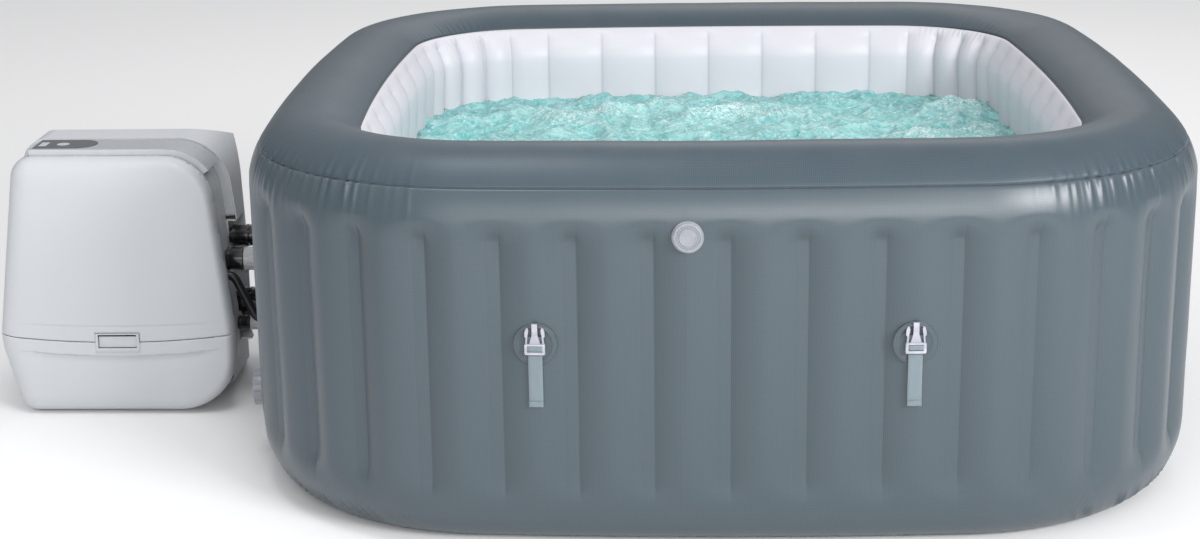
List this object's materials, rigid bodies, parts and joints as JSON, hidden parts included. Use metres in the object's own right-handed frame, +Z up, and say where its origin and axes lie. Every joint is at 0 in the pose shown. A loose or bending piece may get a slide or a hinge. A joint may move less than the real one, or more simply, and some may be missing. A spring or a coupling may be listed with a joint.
{
  "type": "inflatable hot tub",
  "caption": "Square inflatable hot tub with a ribbed grey wall, white liner and buckled straps, joined by couplings to a free-standing pump, heater and blower unit.",
  "frame": {"origin": "centre of the tub's footprint on the ground", "axes": "+X to the right of the front wall, away from the pump unit; +Y to the back; +Z up"},
  "size_m": [2.408, 1.8175, 0.71],
  "materials": {
    "grey_vinyl": "satin",
    "white_liner": "satin",
    "floor_foam": "matte",
    "base_vinyl": "matte",
    "web_mesh": "matte",
    "hose_white": "satin",
    "fitting_white": "gloss",
    "fitting_grey": "satin",
    "webbing": "matte",
    "buckle_grey": "satin",
    "case_shell": "satin",
    "channel_grey": "satin",
    "chassis_grey": "matte",
    "foot_rubber": "matte",
    "panel_dark": "gloss",
    "panel_light": "gloss",
    "screw_steel": "satin",
    "coupling_black": "gloss",
    "hose_black": "satin",
    "nut_clear": "gloss",
    "heater_steel": "satin",
    "board_green": "satin",
    "motor_metal": "satin",
    "wheel_plastic": "satin"
  },
  "bodies": {
    "pool": {"outer_wall": "grey_vinyl", "top_rim": "grey_vinyl", "inner_wall": "white_liner", "floor_pad": "floor_foam", "base_sheet": "base_vinyl", "i_beam_webs": "web_mesh", "air_channel": "white_liner", "jet_pipes": "hose_white", "jet_nozzles": "fitting_white", "inlet_screens": "fitting_white", "through_hoses": "hose_white", "wall_spigots": "fitting_white", "strap_patches": "grey_vinyl", "webbing_straps": "webbing", "air_valve_body": "fitting_grey", "drain_valve_body": "fitting_grey", "drain_tether": "fitting_grey"},
    "pump_unit": {"pump_base": "chassis_grey", "rubber_feet": "foot_rubber", "front_cover": "case_shell", "rear_cover": "case_shell", "centre_frame": "channel_grey", "control_bar": "case_shell", "panel_lens": "panel_dark", "panel_lights": "panel_light", "case_screws": "screw_steel", "cord_gland": "coupling_black", "heater_tube": "heater_steel", "control_board": "board_green", "internal_pipes": "hose_white", "hose_sockets": "coupling_black", "coupling_seals": "foot_rubber", "air_hose": "hose_black", "circ_volute": "chassis_grey", "circ_motor": "motor_metal", "jet_volute": "chassis_grey", "jet_motor": "motor_metal", "blower_housing": "chassis_grey", "blower_motor": "motor_metal"},
    "buckle_1": {"buckle_1": "buckle_grey"},
    "buckle_2": {"buckle_2": "buckle_grey"},
    "buckle_3": {"buckle_3": "buckle_grey"},
    "buckle_4": {"buckle_4": "buckle_grey"},
    "buckle_5": {"buckle_5": "buckle_grey"},
    "buckle_6": {"buckle_6": "buckle_grey"},
    "buckle_7": {"buckle_7": "buckle_grey"},
    "buckle_8": {"buckle_8": "buckle_grey"},
    "air_valve_cap": {"air_valve_cap": "fitting_grey"},
    "valve_stem": {"valve_stem": "fitting_grey"},
    "drain_cap": {"drain_cap": "fitting_grey"},
    "lower_cover": {"lower_cover": "case_shell"},
    "cover_latch": {"cover_latch": "case_shell"},
    "circ_impeller": {"circ_impeller": "wheel_plastic"},
    "jet_impeller": {"jet_impeller": "wheel_plastic"},
    "blower_fan": {"blower_fan": "wheel_plastic"},
    "union_nut_heated_return": {"union_nut_heated_return": "coupling_black"},
    "union_nut_jet_supply": {"union_nut_jet_supply": "nut_clear"},
    "union_nut_jet_suction": {"union_nut_jet_suction": "coupling_black"},
    "union_nut_filter_suction": {"union_nut_filter_suction": "nut_clear"}
  },
  "joints": [
    {"name": "pump_unit_slide", "type": "slide", "parent": "pool", "child": "pump_unit", "axis": [-1, 0, 0], "range_m": [0, 0.3]},
    {"name": "buckle_1_tilt", "type": "hinge", "parent": "pool", "child": "buckle_1", "pos_m": [0.32237, -0.90142, 0.371], "axis": [0.999, 0.0439, 0], "range_deg": [0, 95]},
    {"name": "buckle_2_tilt", "type": "hinge", "parent": "pool", "child": "buckle_2", "pos_m": [-0.32237, -0.90142, 0.371], "axis": [0.999, -0.0439, 0], "range_deg": [0, 95]},
    {"name": "buckle_3_tilt", "type": "hinge", "parent": "pool", "child": "buckle_3", "pos_m": [0.90142, 0.32237, 0.371], "axis": [-0.0439, 0.999, 0], "range_deg": [0, 95]},
    {"name": "buckle_4_tilt", "type": "hinge", "parent": "pool", "child": "buckle_4", "pos_m": [0.90142, -0.32237, 0.371], "axis": [0.0439, 0.999, 0], "range_deg": [0, 95]},
    {"name": "buckle_5_tilt", "type": "hinge", "parent": "pool", "child": "buckle_5", "pos_m": [-0.32237, 0.90142, 0.371], "axis": [-0.999, -0.0439, 0], "range_deg": [0, 95]},
    {"name": "buckle_6_tilt", "type": "hinge", "parent": "pool", "child": "buckle_6", "pos_m": [0.32237, 0.90142, 0.371], "axis": [-0.999, 0.0439, 0], "range_deg": [0, 95]},
    {"name": "buckle_7_tilt", "type": "hinge", "parent": "pool", "child": "buckle_7", "pos_m": [-0.90142, -0.32237, 0.371], "axis": [0.0439, -0.999, 0], "range_deg": [0, 95]},
    {"name": "buckle_8_tilt", "type": "hinge", "parent": "pool", "child": "buckle_8", "pos_m": [-0.90142, 0.32237, 0.371], "axis": [-0.0439, -0.999, 0], "range_deg": [0, 95]},
    {"name": "air_valve_cap_turn", "type": "hinge", "parent": "pool", "child": "air_valve_cap", "pos_m": [-0.062, -0.89974, 0.573], "axis": [-0.0084, -0.9975, 0.0698], "continuous": true},
    {"name": "valve_stem_press", "type": "slide", "parent": "pool", "child": "valve_stem", "axis": [0.0084, 0.9975, -0.0698], "range_m": [0, 0.0035], "stiffness_N_per_m": 400},
    {"name": "drain_cap_turn", "type": "hinge", "parent": "pool", "child": "drain_cap", "pos_m": [-0.88909, -0.3998, 0.14], "axis": [-0.9985, -0.0545, 0], "continuous": true},
    {"name": "lower_cover_pull", "type": "slide", "parent": "pump_unit", "child": "lower_cover", "axis": [0, -1, 0], "range_m": [0, 0.12]},
    {"name": "cover_latch_press", "type": "hinge", "parent": "lower_cover", "child": "cover_latch", "pos_m": [-1.24, -0.17, 0.1514], "axis": [-1, 0, 0], "range_deg": [0, 10], "stiffness_Nm_per_rad": 0.6},
    {"name": "union_nut_heated_return_turn", "type": "hinge", "parent": "pump_unit", "child": "union_nut_heated_return", "pos_m": [-0.96, 0, 0.343], "axis": [1, 0, 0], "continuous": true},
    {"name": "union_nut_jet_supply_turn", "type": "hinge", "parent": "pump_unit", "child": "union_nut_jet_supply", "pos_m": [-0.96, -0.07, 0.311], "axis": [1, 0, 0], "continuous": true},
    {"name": "union_nut_jet_suction_turn", "type": "hinge", "parent": "pump_unit", "child": "union_nut_jet_suction", "pos_m": [-0.96, 0, 0.196], "axis": [1, 0, 0], "continuous": true},
    {"name": "union_nut_filter_suction_turn", "type": "hinge", "parent": "pump_unit", "child": "union_nut_filter_suction", "pos_m": [-0.96, -0.05, 0.164], "axis": [1, 0, 0], "continuous": true},
    {"name": "jet_impeller_spin", "type": "hinge", "parent": "pump_unit", "child": "jet_impeller", "pos_m": [-1.26, 0.165, 0.11], "axis": [1, 0, 0], "continuous": true},
    {"name": "circ_impeller_spin", "type": "hinge", "parent": "pump_unit", "child": "circ_impeller", "pos_m": [-1.3, 0.02, 0.075], "axis": [1, 0, 0], "continuous": true},
    {"name": "blower_fan_spin", "type": "hinge", "parent": "pump_unit", "child": "blower_fan", "pos_m": [-1.33, 0.15, 0.36], "axis": [1, 0, 0], "continuous": true}
  ]
}
